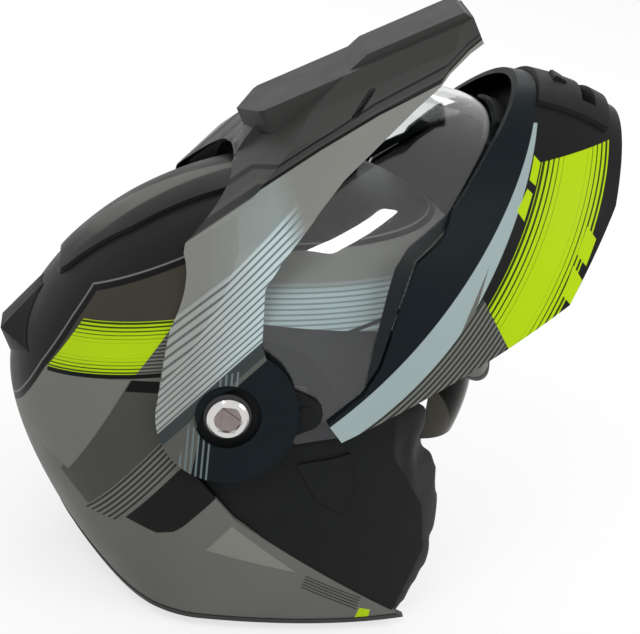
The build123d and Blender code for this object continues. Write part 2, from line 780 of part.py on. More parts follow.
with BuildPart() as peak:
    add(peak_form(0))
    add(block(peak_outline, turn=peak_pitch), mode=Mode.INTERSECT)
    add(peak_form(peak_wall), mode=Mode.SUBTRACT)
    add(peak_spine.part)
    add(block(neck_outline, peak_pitch, -neck_half_width, neck_half_width))
    add(block(front_ridge, peak_pitch, -front_ridge_half_width, front_ridge_half_width))
    for side in (1, -1):
        with BuildSketch(level_plane(peak_pitch, 0)):
            with Locations(Location((peak_slot_centre[0], side * peak_slot_centre[1]),
                                    -side * peak_slot_turn)):
                SlotOverall(peak_slot_length, peak_slot_width)
        extrude(amount=half_width, mode=Mode.SUBTRACT)
        near = min(side * peak_inner_face, side * peak_face)
        add(disc(peak_boss_radius, near, near + peak_wall))
        near = min(side * (peak_face - peak_recess_depth), side * peak_face)
        add(disc(peak_recess_radius, near, near + peak_recess_depth), mode=Mode.SUBTRACT)
    add(disc(bolt_radius + pin_clearance, -full_width, full_width), mode=Mode.SUBTRACT)
    for step in range(peak_travel_steps + 1):
        raised = crown_room.rotate(hinge_axis, peak_travel * step / peak_travel_steps)
        add(raised, mode=Mode.SUBTRACT)
save(peak.part, "peak")

# Sun visor in the space between the shell and the impact liner
save(visor_turning(0, -sun_wall, sun_edge, sun_low_angle, sun_high_angle), "sun_visor")
visor_space = visor_turning(sun_outer_room, -sun_inner_room, sun_edge + sun_side_room,
                            sun_low_angle - sun_side_room, sun_high_angle + sun_travel
                            + sun_side_room)

# Impact liner and comfort liner
slab = block(((-full_width, -full_width), (full_width, -full_width),
              (full_width, full_width), (-full_width, full_width)),
             near=-liner_face, far=liner_face)
with BuildPart() as impact_liner:
    add(shell_form(liner_inset))
    add(slab, mode=Mode.INTERSECT)
    add(shell_form(liner_inset + liner_wall), mode=Mode.SUBTRACT)
    add(block(eps_outline), mode=Mode.INTERSECT)
    add(visor_space, mode=Mode.SUBTRACT)
    for side in (1, -1):
        recess_near = min(side * (bolt_inner_face - running_gap), side * half_width)
        recess_far = max(side * (bolt_inner_face - running_gap), side * half_width)
        add(disc(bolt_flange_radius + recess_clearance, recess_near, recess_far),
            mode=Mode.SUBTRACT)
save(impact_liner.part, "impact_liner")

comfort_inset = liner_inset + liner_wall + comfort_gap
with BuildPart() as channels:
    with BuildSketch(Plane.XY.offset(pivot_height)):
        with Locations((0, -channel_spacing), (0, 0), (0, channel_spacing)):
            SlotOverall(channel_length, channel_half_width * 2)
    extrude(amount=half_width)
    add(shell_form(comfort_inset + comfort_wall - channel_depth), mode=Mode.INTERSECT)

with BuildPart() as comfort_liner:
    add(shell_form(comfort_inset))
    add(shell_form(comfort_inset + comfort_wall), mode=Mode.SUBTRACT)
    add(block(comfort_outline), mode=Mode.INTERSECT)
    add(channels.part, mode=Mode.SUBTRACT)
save(comfort_liner.part, "comfort_liner")

# Cheek pad: cushion with a crowned inner face, drawn-in sides and two channels
with BuildPart() as cheek_pad:
    for face, inset in zip(pad_faces, pad_insets):
        with BuildSketch(side_plane(0, face)):
            with BuildLine():
                Polyline(*pad_outline, close=True)
            make_face()
            if inset > 0:
                offset(amount=-inset, kind=Kind.INTERSECTION)
            fillet(vertices(), pad_corner)
    loft()
    add(shell_form(frame_inset + frame_wall + running_gap), mode=Mode.INTERSECT)
    add(block(((-full_width, stand_level), (full_width, stand_level),
               (full_width, full_width), (-full_width, full_width)), near=0, far=liner_face),
        mode=Mode.INTERSECT)
    add(visor_space, mode=Mode.SUBTRACT)
    for groove in (seam_groove, front_groove):
        add(block(groove, near=0, far=groove_face), mode=Mode.SUBTRACT)
save_pair(cheek_pad.part, "cheek_pad")

# Neck roll round the back of the opening, with a foot that the helmet stands on
with BuildPart() as neck_foot:
    add(layer(*neck_lower_insets))
    add(block(neck_lower), mode=Mode.INTERSECT)

with BuildPart() as neck_roll:
    add(layer(*neck_upper_insets))
    add(block(neck_upper), mode=Mode.INTERSECT)
    add(neck_foot.part)
save(neck_roll.part, "neck_roll")

# Rubber trims on the lower rim and on the brow edge
trim_wall_form = layer(-trim_rise, trim_inset)
with BuildPart() as base_trim:
    add(trim_wall_form)
    with Locations((0, 0, -running_gap)):
        add(below_rim.part, mode=Mode.INTERSECT)
    with Locations((0, 0, -trim_wall)):
        add(below_rim.part, mode=Mode.SUBTRACT)
    add(window.part, mode=Mode.SUBTRACT)
save(base_trim.part, "base_trim")

with BuildPart() as brow_trim:
    add(trim_wall_form)
    with Locations((trim_gap, 0, -trim_gap)):
        add(window.part, mode=Mode.INTERSECT)
    with Locations((trim_wall, 0, -trim_wall)):
        add(window.part, mode=Mode.SUBTRACT)
    add(block(((trim_start_reach, 0), (full_width, 0), (full_width, half_width),
               (trim_start_reach, half_width))), mode=Mode.INTERSECT)
save(brow_trim.part.solids().sort_by(SortBy.VOLUME)[-1], "brow_trim")

# Crown fairing with a flat pocket for the vent slider
pad_plane = Plane((vent_pad_reach, 0, pivot_height + vent_pad_level),
                  x_dir=(cos(radians(vent_pad_tilt)), 0, sin(radians(vent_pad_tilt))),
                  z_dir=(-sin(radians(vent_pad_tilt)), 0, cos(radians(vent_pad_tilt))))
inner_fairing = shell_form(-running_gap)
pocket_plane = pad_plane.offset(vent_pad_top - vent_pocket_size[2])
with BuildPart() as crown_fairing:
    with BuildSketch(Plane.XY.offset(pivot_height)):
        with BuildLine():
            half_plan = list(fairing_outline)
            Polyline(*half_plan, *[(reach, -side) for reach, side in reversed(half_plan)],
                     close=True)
        make_face()
        fillet(vertices(), pad_corner)
    extrude(amount=full_width)
    add(shell_form(-fairing_rise), mode=Mode.INTERSECT)
    with BuildSketch(pad_plane.offset(vent_pad_top - vent_pad_size[2])):
        RectangleRounded(vent_pad_size[0], vent_pad_size[1], pad_corner / 2)
    extrude(amount=vent_pad_size[2])
    add(inner_fairing, mode=Mode.SUBTRACT)
    with BuildSketch(pocket_plane):
        Rectangle(vent_pocket_size[0], vent_pocket_size[1])
    extrude(amount=vent_pocket_size[2], mode=Mode.SUBTRACT)
save(crown_fairing.part, "crown_fairing")

with BuildPart() as top_vent_slider:
    with BuildSketch(pocket_plane.offset(running_gap)):
        with Locations((-top_slider_travel / 2, 0)):
            Rectangle(top_slider_size[0], top_slider_size[1])
    extrude(amount=top_slider_size[2])
    chamfer(faces().sort_by(Axis.Z)[-1].edges(), top_slider_size[2] / 4)
save(top_vent_slider.part, "top_vent_slider")

with BuildPart() as rear_spoiler:
    for level, rise, tip in zip(spoiler_levels, spoiler_rises, spoiler_tip_half_widths):
        rear, middle, front, side = shell_sizes(level, 0)
        reach = rear + spoiler_depth
        flank = side * sqrt(1 - ((middle - reach) / (middle - rear)) ** 2)
        with BuildSketch(Plane.XY.offset(pivot_height + level)):
            with BuildLine():
                Polyline(*both_sides([(reach + spoiler_depth, flank), (reach, flank),
                                      (rear - rise, tip)]), close=True)
            make_face()
    loft(ruled=True)
    add(inner_fairing, mode=Mode.SUBTRACT)
save(rear_spoiler.part, "rear_spoiler")

# Chin strap: flat webbing in a U, its ends on anchors inside the side frames
strap_angle = radians(strap_drop)
strap_plane = Plane((strap_origin[0], 0, pivot_height + strap_origin[1]),
                    x_dir=(cos(strap_angle), 0, -sin(strap_angle)),
                    z_dir=(sin(strap_angle), 0, cos(strap_angle)))
strap_bend = strap_length - strap_side
with BuildPart() as chin_strap:
    with BuildSketch(strap_plane.offset(-strap_width / 2)):
        with BuildLine() as strap_line:
            Polyline((0, strap_start_side), (strap_turn, strap_side), (strap_bend, strap_side))
            CenterArc((strap_bend, 0), strap_side, -90, 180)
            Polyline((strap_bend, -strap_side), (strap_turn, -strap_side),
                     (0, -strap_start_side))
        trace(line_width=strap_wall)
    extrude(amount=strap_width)
save(chin_strap.part, "chin_strap")

anchor_plane = Plane(strap_plane.origin, x_dir=strap_plane.x_dir, z_dir=(0, -1, 0))
with BuildPart() as strap_anchor:
    with BuildSketch(anchor_plane.offset(anchor_face)):
        RectangleRounded(anchor_size[0], anchor_size[1], anchor_pin_radius)
    extrude(amount=anchor_wall)
save_pair(strap_anchor.part, "strap_anchor")

buckle_plane = Plane(strap_plane.from_local_coords((buckle_along, -buckle_outer_side, 0)),
                     x_dir=strap_plane.x_dir, z_dir=(0, 1, 0))
with BuildPart() as strap_buckle:
    with BuildSketch(buckle_plane):
        RectangleRounded(buckle_size[0], buckle_size[1], anchor_pin_radius)
    extrude(amount=buckle_size[2])
    with BuildSketch(buckle_plane.offset(buckle_outer_side - strap_side - strap_wall / 2
                                         - running_gap)):
        Rectangle(buckle_size[0] * 2, strap_width + running_gap * 2)
    extrude(amount=strap_wall + running_gap * 2, mode=Mode.SUBTRACT)
save(strap_buckle.part, "strap_buckle")

with BuildPart() as buckle_lever:
    with BuildSketch(buckle_plane.offset(buckle_size[2] + running_gap)):
        RectangleRounded(lever_size[0], lever_size[1], anchor_pin_radius)
    extrude(amount=lever_size[2])
save(buckle_lever.part, "buckle_lever")

# Sun visor slider in a lug on the left lower rim
lug_angle = radians(lug_tilt)
lug_plane = Plane((lug_reach, lug_side, pivot_height + lug_level), x_dir=(-1, 0, 0),
                  z_dir=(0, cos(lug_angle), -sin(lug_angle)))
with BuildPart() as visor_slider_base:
    add(shell_form(-lug_rise))
    add(block(lug_outline, near=-half_width * 2, far=0), mode=Mode.INTERSECT)
    add(inner_fairing, mode=Mode.SUBTRACT)
    with BuildSketch(lug_plane):
        Rectangle(lug_pocket_size[0], lug_pocket_size[1])
    extrude(amount=overrun, mode=Mode.SUBTRACT)
save(visor_slider_base.part, "visor_slider_base")

with BuildPart() as visor_slider:
    with BuildSketch(lug_plane.offset(running_gap)):
        with Locations(((lug_pocket_size[0] - lever_knob_size[0]) / 2 - running_gap * 2, 0)):
            Rectangle(lever_knob_size[0], lever_knob_size[1])
    extrude(amount=lever_knob_size[2])
    chamfer(faces().sort_by(Axis.Y)[-1].edges(), lever_knob_size[2] / 4)
save(visor_slider.part, "visor_slider")
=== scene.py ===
import json
from math import cos, exp, radians, sin

import bmesh
import bpy
from mathutils import Matrix, Vector


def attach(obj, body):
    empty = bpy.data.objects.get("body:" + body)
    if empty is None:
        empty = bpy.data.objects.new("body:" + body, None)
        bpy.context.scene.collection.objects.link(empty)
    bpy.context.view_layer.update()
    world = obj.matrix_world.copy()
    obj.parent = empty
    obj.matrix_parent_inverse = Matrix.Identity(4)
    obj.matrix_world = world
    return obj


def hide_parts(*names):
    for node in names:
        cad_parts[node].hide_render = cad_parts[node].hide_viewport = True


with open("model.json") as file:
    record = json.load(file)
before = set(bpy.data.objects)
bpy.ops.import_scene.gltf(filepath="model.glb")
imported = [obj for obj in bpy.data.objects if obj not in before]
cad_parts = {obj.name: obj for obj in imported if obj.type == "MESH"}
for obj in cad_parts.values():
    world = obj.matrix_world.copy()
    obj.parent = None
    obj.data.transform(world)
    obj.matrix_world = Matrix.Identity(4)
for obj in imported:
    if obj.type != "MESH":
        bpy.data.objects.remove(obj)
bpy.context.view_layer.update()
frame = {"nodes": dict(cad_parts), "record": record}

nodes = frame["nodes"]

# Camera, from the photograph: angles in degrees, lengths in metres
camera_azimuth, camera_elevation, camera_roll = -9.0, 20.0, 10.0
camera_distance = 1.2
camera_target = Vector((0.060, 0.0, 0.162))
picture_width, picture_height = 640, 634
focal_pixels = 2000.0
sensor_width = 36.0


def camera_axes():
    a, e, t = (radians(v) for v in (camera_azimuth, camera_elevation, camera_roll))
    back = Vector((sin(a) * cos(e), -cos(a) * cos(e), sin(e)))
    right = Vector((cos(a), sin(a), 0.0))
    up = back.cross(right)
    return cos(t) * right + sin(t) * up, -sin(t) * right + cos(t) * up, back


def make_camera():
    right, up, back = camera_axes()
    data = bpy.data.cameras.new("camera")
    data.sensor_width = sensor_width
    data.lens = focal_pixels / picture_width * sensor_width
    data.clip_end = 50.0
    camera = bpy.data.objects.new("camera", data)
    camera.matrix_world = Matrix.Translation(camera_target + camera_distance * back) @ Matrix(
        (right, up, back)).transposed().to_4x4()
    bpy.context.scene.collection.objects.link(camera)
    bpy.context.scene.camera = camera


make_camera()
bpy.context.scene.view_settings.view_transform = "Standard"


def srgb(red, green, blue):
    """Linear colour of a tone that shows as red, green, blue out of 255."""
    return tuple(((v / 255 + 0.055) / 1.055) ** 2.4 for v in (red, green, blue))


# Paint is placed in mm; these directions measure the object's metres as mm
per_metre = 1000.0
to_front, to_left, to_top = (per_metre, 0.0, 0.0), (0.0, per_metre, 0.0), (0.0, 0.0, per_metre)


class Paint:
    """A material under construction: its node tree and the nodes it is built from."""

    def __init__(self, name, colour, roughness, **sockets):
        self.material = bpy.data.materials.new(name)
        self.material.use_nodes = True
        self.tree = self.material.node_tree
        self.shader = self.tree.nodes["Principled BSDF"]
        self.output = self.tree.nodes["Material Output"]
        self.shader.inputs["Base Color"].default_value = (*colour, 1.0)
        self.shader.inputs["Roughness"].default_value = roughness
        for key, value in sockets.items():
            self.shader.inputs[key.replace("_", " ")].default_value = value
        self.place = self.tree.nodes.new("ShaderNodeTexCoord").outputs["Object"]

    def node(self, kind, *sources, **settings):
        made = self.tree.nodes.new("ShaderNode" + kind)
        for key, value in settings.items():
            setattr(made, key, value)
        for socket, source in zip(made.inputs, sources):
            self.feed(socket, source)
        return made

    def feed(self, socket, source):
        if isinstance(source, bpy.types.NodeSocket):
            self.tree.links.new(source, socket)
        elif source is not None:
            socket.default_value = source

    def math(self, operation, *sources, clamp=False):
        return self.node("Math", *sources, operation=operation, use_clamp=clamp).outputs[0]

    def dot(self, vector):
        """Place along the vector, scaled by its length."""
        made = self.node("VectorMath", self.place, vector, operation="DOT_PRODUCT")
        return made.outputs["Value"]

    def across(self, a, b):
        """Distance in mm to the left of the line from a to b in the side view."""
        length = ((b[0] - a[0]) ** 2 + (b[1] - a[1]) ** 2) ** 0.5
        nx, nz = (a[1] - b[1]) / length, (b[0] - a[0]) / length
        shift = a[0] * nx + a[1] * nz
        return self.math("SUBTRACT", self.dot((nx * per_metre, 0.0, nz * per_metre)), shift)

    def from_point(self, centre):
        """Distance in mm from a point of the side view."""
        flat = self.node("VectorMath", self.place, (per_metre, 0.0, per_metre),
                         operation="MULTIPLY")
        away = self.node("VectorMath", flat.outputs[0], (centre[0], 0.0, centre[1]),
                         operation="DISTANCE")
        return away.outputs["Value"]

    def least(self, *points):
        """Least distance to the left of the lines through the points in turn, in mm."""
        best = None
        for a, b in zip(points, points[1:]):
            one = self.across(a, b)
            best = one if best is None else self.math("MINIMUM", best, one)
        return best

    def over(self, distance, limit=0.0, soft=0.3):
        """1 where the distance passes the limit, 0 below it, softened over soft mm."""
        return self.math("MULTIPLY_ADD", distance, 1 / soft, 0.5 - limit / soft, clamp=True)

    def under(self, distance, limit=0.0, soft=0.3):
        """1 where the distance is below the limit, 0 past it."""
        return self.math("MULTIPLY_ADD", distance, -1 / soft, 0.5 + limit / soft, clamp=True)

    def between(self, distance, low, high, soft=0.3):
        """Mask of the distances from low to high."""
        return self.math("SUBTRACT", self.over(distance, low, soft),
                         self.over(distance, high, soft), clamp=True)

    def region(self, *points):
        """Mask of a convex region with its corners in anticlockwise order, mm."""
        return self.over(self.least(*points, points[0]))

    def lines(self, distance, pitch, share, soft=0.3):
        """Mask of lines a pitch apart that each take a share of it; the share may be a socket."""
        wave = self.math("PINGPONG", self.math("DIVIDE", distance, pitch), 0.5)
        half = self.math("MULTIPLY", share, 0.5)
        gap = self.math("SUBTRACT", half, wave)
        return self.math("MULTIPLY_ADD", gap, pitch / soft, 0.5, clamp=True)

    def ramp(self, source, from_low, from_high, to_low, to_high):
        made = self.node("MapRange", source)
        for key, value in (("From Min", from_low), ("From Max", from_high),
                           ("To Min", to_low), ("To Max", to_high)):
            made.inputs[key].default_value = value
        return made.outputs[0]

    def both(self, *masks):
        """Where all the masks are 1."""
        result = masks[0]
        for mask in masks[1:]:
            result = self.math("MULTIPLY", result, mask)
        return result

    def layers(self, base, *coats):
        """Colour of the base under the coats, each a colour and its mask."""
        for colour, mask in coats:
            base = self.colour(base, colour, mask)
        return base

    def colour(self, under, over, mask):
        """The colour over where the mask is 1, the colour under where it is 0."""
        made = self.node("Mix", data_type="RGBA")
        self.feed(made.inputs["Factor"], mask)
        for socket, source in (("A", under), ("B", over)):
            target = [s for s in made.inputs if s.name == socket and s.type == "RGBA"][0]
            if isinstance(source, tuple) and len(source) == 3:
                source = (*source, 1.0)
            self.feed(target, source)
        return [s for s in made.outputs if s.type == "RGBA"][0]

    def noise(self, scale, detail=3.0):
        made = self.node("TexNoise", self.place)
        made.inputs["Scale"].default_value = scale
        made.inputs["Detail"].default_value = detail
        return made.outputs[0]

    def spread(self, source, low, high):
        """Noise, which keeps to the middle of 0 to 1, stretched from low to high."""
        return self.ramp(source, 0.3, 0.7, low, high)

    def bump(self, height, distance):
        """Bump on top of those already there, the distance in metres."""
        made = self.node("Bump")
        made.inputs["Distance"].default_value = distance
        self.feed(made.inputs["Height"], height)
        previous = self.shader.inputs["Normal"].links
        if previous:
            self.feed(made.inputs["Normal"], previous[0].from_socket)
        self.feed(self.shader.inputs["Normal"], made.outputs[0])

    def inward(self):
        """Mask of the faces that look towards the middle plane."""
        place = self.node("SeparateXYZ", self.place)
        facing = self.tree.nodes.new("ShaderNodeTexCoord").outputs["Normal"]
        normal = self.node("SeparateXYZ", facing)
        side = self.math("SIGN", place.outputs["Y"])
        return self.over(self.math("MULTIPLY", side, normal.outputs["Y"]), -0.12, -0.08)

    def worn(self, base, amount=0.12):
        """Uneven lightening of the base colour."""
        shade = self.spread(self.noise(9.0, 5.0), 1.0 - amount, 1.0 + amount)
        made = self.node("VectorMath", base, operation="SCALE")
        self.feed(made.inputs["Scale"], shade)
        self.feed(self.shader.inputs["Base Color"], made.outputs[0])

    def rough(self, low, high, scale=60.0):
        self.feed(self.shader.inputs["Roughness"], self.spread(self.noise(scale, 4.0), low, high))


def plain(name, colour, low, high, grain=900.0, depth=0.00002, **sockets):
    """One colour with a fine grain, its roughness between low and high."""
    paint = Paint(name, colour, low, **sockets)
    paint.worn(colour)
    paint.rough(low, high)
    paint.bump(paint.noise(grain, 2.0), depth)
    return paint


black_plastic = plain("black_plastic", (0.008, 0.0085, 0.009), 0.42, 0.55,
                      Specular_IOR_Level=0.07).material
black_liner = plain("black_liner", (0.010, 0.010, 0.0105), 0.6, 0.75, 500.0, 0.00005,
                    Specular_IOR_Level=0.1).material
black_rubber = plain("black_rubber", (0.012, 0.012, 0.013), 0.55, 0.7, 300.0, 0.0001).material
steel = plain("steel", (0.055, 0.056, 0.058), 0.32, 0.48, 300.0, 0.00004, Metallic=1.0).material

# Hinge of the chin bar in the side view and the cap nut on it, mm
hinge = (0.0, 144.0)
recess_radius, turning_rate = 7.4, 18.0


def make_chrome():
    """Bright turned rim; the star recess round the axis is painted darker, in mottled brownish
    tones.
    """
    bright = (0.62, 0.61, 0.6)
    paint = Paint("chrome", bright, 0.08, Metallic=1.0)
    from_axis = paint.from_point(hinge)
    recess = paint.under(from_axis, recess_radius)
    recess_tone = paint.colour((0.16, 0.13, 0.125), (0.30, 0.26, 0.25), paint.noise(160.0))
    paint.feed(paint.shader.inputs["Base Color"], paint.colour(bright, recess_tone, recess))
    paint.rough(0.07, 0.16, 90.0)
    turned = paint.math("SINE", paint.math("MULTIPLY", from_axis, turning_rate))
    paint.bump(turned, 0.000004)
    return paint.material


chrome = make_chrome()

# Paint tones
lime = srgb(156, 184, 14)
lime_shade = srgb(40, 52, 12)
matte_black = srgb(24, 24, 24)
deep_black = srgb(15, 15, 15)
dark_grey = srgb(44, 45, 42)
warm_grey = srgb(54, 50, 44)
mid_grey = srgb(64, 65, 60)
panel_grey = srgb(98, 99, 94)
body_grey = srgb(90, 90, 86)
light_grey = srgb(110, 111, 105)
ice_grey = srgb(136, 150, 150)
ice_shade = srgb(92, 103, 104)
teal_black = srgb(16, 23, 26)


def satin(name):
    """Satin lacquer with a fine orange-peel bump."""
    smoothest, roughest = 0.34, 0.44
    paint = Paint(name, matte_black, smoothest, Specular_IOR_Level=0.06)
    paint.rough(smoothest, roughest, 45.0)
    paint.bump(paint.noise(420.0, 2.0), 0.00005)
    return paint


def lime_field(paint, distance, middle, reach, pitch, mask):
    """Lime lines that are solid round the middle distance and thin towards the reach."""
    away = paint.math("ABSOLUTE", paint.math("SUBTRACT", distance, middle))
    share = paint.ramp(away, 0.0, reach, 1.25, 0.4)
    lines = paint.lines(distance, pitch, share)
    return (lime_shade, mask), (lime, paint.both(lines, mask))


def make_shell_paint():
    """Grey shell with a black crown, panels, line fields and lime; side view, mm."""
    paint = satin("shell_paint")
    crown_line = paint.least((80.2, 236.2), (28.1, 229.5), (-7.6, 220.3), (-31.2, 211.9),
                             (-76.5, 184.0), (-85.4, 166.9), (-99.3, 136.7), (-109.9, 108.1))
    panel = paint.over(crown_line)
    forward = paint.ramp(paint.dot(to_front), -25.0, 20.0, 0.0, 1.0)

    field_foot, field_pitch = ((-98.5, 137.2), (-50.9, 154.3)), 1.78
    field = paint.across(*field_foot)
    upper_panel = paint.both(panel, paint.over(field))
    upper_tone = paint.colour(warm_grey, srgb(96, 96, 91), forward)
    left_end = paint.over(paint.across((-82.1, 169.3), (-98.5, 137.2)))
    height = paint.between(field, 0.0, 24.9)
    split = paint.across((-50.9, 154.3), (-33.2, 186.3))
    lime_mask = paint.both(height, left_end, paint.over(split), panel)
    rear_mask = paint.both(height, paint.under(split), paint.under(forward, 0.4, 0.01))
    rear_lines = paint.both(rear_mask, paint.lines(field, field_pitch, 0.55))
    before_arm = paint.over(paint.across((-36.0, 190.0), (-38.0, 140.0)), -60.0)
    under_field = paint.both(paint.between(field, -2.2, 0.0), left_end, before_arm)

    front_line = paint.across((10.8, 207.3), (80.2, 214.8))
    front_band = paint.both(paint.between(front_line, -34.0, 4.0, 6.0), forward)
    front_stripes = paint.both(front_band, paint.lines(front_line, 2.6, 0.62))

    stripe_side = paint.across((-62.9, 69.4), (-35.0, 116.4))
    stripe_band = paint.both(
        paint.between(stripe_side, -15.6, 0.0),
        paint.region((-80.0, 60.0), (-30.0, 62.0), (-5.0, 120.0), (-30.0, 130.0)))
    stripes = paint.both(stripe_band, paint.lines(stripe_side, 2.6, 0.5))

    low_line = paint.across((62.5, 35.1), (91.8, 21.1))
    fine_lines = paint.both(
        paint.between(low_line, -3.0, 6.0),
        paint.region((58.0, 20.0), (96.0, 8.0), (99.0, 30.0), (62.0, 45.0)),
        paint.lines(low_line, 1.9, 0.45))

    mid_panel = paint.region((-84.0, 79.0), (-66.0, 64.0), (-30.0, 110.0), (0.0, 150.0),
                             (-40.0, 152.0), (-53.6, 150.0))
    rear_panel = paint.region((-125.0, 97.0), (-79.8, 81.9), (-53.6, 150.0), (-98.7, 136.6))
    black_blade = paint.region((-48.9, 66.9), (-27.4, 61.7), (-18.3, 65.0), (-10.9, 72.0),
                               (-1.0, 87.4), (15.0, 110.0), (0.0, 140.0), (-21.5, 104.8))
    # Painted shadow that the peak's arm casts on the shell, in deep black.
    peak_arm_shadow = paint.region((-55.6, 143.4), (-20.0, 152.5), (-20.0, 159.0), (-52.8, 150.6))
    triangle = paint.region((1.4, 56.3), (55.2, 44.7), (13.3, 74.1))
    toe = paint.region((97.0, 8.0), (106.0, 8.0), (106.0, 15.0), (99.0, 17.0))
    colour = paint.layers(
        body_grey, (upper_tone, upper_panel), (ice_shade, front_band),
        (ice_grey, front_stripes), (mid_grey, mid_panel), (panel_grey, rear_panel),
        (matte_black, black_blade), (dark_grey, stripe_band), (panel_grey, stripes),
        *lime_field(paint, field, 11.5, 13.0, field_pitch, lime_mask),
        (dark_grey, rear_mask), (panel_grey, rear_lines), (deep_black, under_field),
        (deep_black, peak_arm_shadow), (light_grey, triangle), (dark_grey, fine_lines), (lime, toe),
        (matte_black, paint.under(crown_line)),
        # Painted highlight: a thin light line along the groove at the edge of the black crown,
        # with a black strip under it.
        (panel_grey, paint.between(crown_line, -3.0, -2.3)),
        (deep_black, paint.between(crown_line, -2.3, 0.0)),
        (deep_black, paint.inward()))
    paint.worn(colour, 0.07)
    return paint.material


def make_chin_paint():
    """Black chin bar with a pale strip, a lime line field and its bars; side view, mm."""
    paint = satin("chin_paint")
    field = paint.from_point((-126.1, 341.2))
    top = paint.over(paint.across((192.8, 302.1), (156.3, 292.5)))
    low_end = paint.across((145.4, 202.1), (133.9, 218.0))
    lime_mask = paint.both(paint.between(field, 287.3, 328.0), top, paint.under(low_end))
    tail_mask = paint.both(paint.between(field, 283.0, 310.0), paint.over(low_end))
    tail_lines = paint.both(tail_mask, paint.lines(field, 2.5, 0.5))
    strip_in = paint.math("SUBTRACT", paint.from_point((-247.0, 426.5)), 416.1)
    strip_out = paint.math("SUBTRACT", paint.from_point((-285.9, 388.8)), 447.5)
    strip = paint.both(paint.over(strip_in), paint.under(strip_out),
                       paint.under(paint.dot(to_top), 310.0))
    grey_blade = paint.region((114.0, 178.0), (121.0, 180.0), (127.0, 214.0), (137.5, 259.5),
                              (124.0, 214.6))
    bars = (((154.0, 281.4), (156.3, 292.5), (152.5, 295.6), (150.2, 284.0)),
            ((144.2, 268.5), (148.9, 263.7), (152.5, 277.5), (149.3, 279.7)),
            ((183.1, 247.9), (189.8, 241.5), (194.1, 255.8), (187.5, 262.5)),
            ((177.4, 226.2), (184.0, 220.0), (188.5, 234.0), (181.6, 242.0)))
    colour = paint.layers(
        matte_black, (teal_black, paint.under(strip_in)), (ice_grey, strip),
        (body_grey, grey_blade), (dark_grey, tail_mask), (panel_grey, tail_lines),
        *lime_field(paint, field, 308.0, 21.0, 2.9, lime_mask),
        *[(lime, paint.region(*corners)) for corners in bars],
        (deep_black, paint.inward()))
    paint.worn(colour, 0.06)
    return paint.material


def make_fairing_paint():
    """Black cover with a painted highlight: a lighter stripe along the crown, where the top
    catches the light, that widens to the rear.
    """
    paint = satin("fairing_paint")
    off_middle = paint.math("ABSOLUTE", paint.dot(to_left))
    reach = paint.dot(to_front)
    half = paint.ramp(reach, -76.0, -11.0, 17.0, 5.0)
    fade = paint.ramp(reach, -92.0, -60.0, 0.0, 1.0)
    # Painted highlight: the lighter stripe stands for light caught along the top of the crown,
    # fading out at the far rear.
    crown_sheen = paint.both(paint.over(paint.math("SUBTRACT", half, off_middle), 0.0, 3.0), fade)
    paint.worn(paint.colour(matte_black, srgb(84, 83, 79), crown_sheen), 0.08)
    return paint.material


def make_peak_paint():
    """Grey arms with a band of pale lines, a dark round boss and top; side view, mm."""
    paint = satin("peak_paint")
    border = paint.least((92.7, 328.1), (62.5, 307.4), (32.4, 284.6), (2.6, 260.8),
                         (-28.9, 227.1))
    cross = paint.across((-31.8, 135.1), (9.5, 186.6))
    near = paint.over(paint.across((30.0, 230.0), (16.0, 262.0)), 0.0, 12.0)
    tint = paint.ramp(paint.dot(to_front), -22.0, 8.0, 0.0, 1.0)
    front_tone = paint.colour(light_grey, ice_grey, 0.5)

    band = paint.both(paint.between(cross, 0.0, 36.5, 1.5), near)
    line_tone = paint.colour(srgb(138, 142, 139), srgb(166, 180, 181), tint)
    shade_tone = paint.colour(srgb(84, 86, 84), ice_shade, tint)
    lines = paint.both(band, paint.lines(cross, 2.75, 0.66))

    boss = paint.math("SUBTRACT", paint.from_point(hinge), 17.5)
    dark_foot = paint.both(paint.under(cross, -9.5),
                           paint.under(paint.across((-15.0, 105.0), (-12.0, 156.0))))
    dashes = paint.both(paint.lines(paint.dot((per_metre, 0.0, 60.0)), 3.0, 0.34, 0.25),
                        paint.over(boss, 1.0))
    above_boss = paint.region((-14.0, 148.0), (4.0, 158.0), (4.0, 172.0), (-6.0, 168.0))
    below_boss = paint.region((-24.0, 104.0), (-5.0, 98.0), (-6.0, 128.0), (-20.0, 138.0))
    colour = paint.layers(
        srgb(116, 117, 112), (front_tone, paint.both(near, tint)),
        (shade_tone, band), (line_tone, lines),
        (srgb(50, 56, 56), paint.between(cross, -7.0, 0.0)),
        (srgb(76, 77, 73), paint.under(cross, -7.0)),
        (teal_black, dark_foot), (teal_black, paint.under(boss)),
        (ice_shade, paint.both(dashes, above_boss)), (ice_shade, paint.both(dashes, below_boss)),
        (srgb(54, 54, 53), paint.under(border)),
        (srgb(62, 62, 60), paint.between(border, -1.7, -1.1)),
        (deep_black, paint.between(border, -1.1, 0.0)),
        (srgb(58, 58, 57), paint.between(border, -4.4, -3.9)),
        (deep_black, paint.between(border, -3.9, -3.2)),
        (deep_black, paint.inward()))
    paint.worn(colour, 0.06)
    return paint.material


shell_paint = make_shell_paint()
chin_paint = make_chin_paint()
peak_paint = make_peak_paint()
fairing_paint = make_fairing_paint()


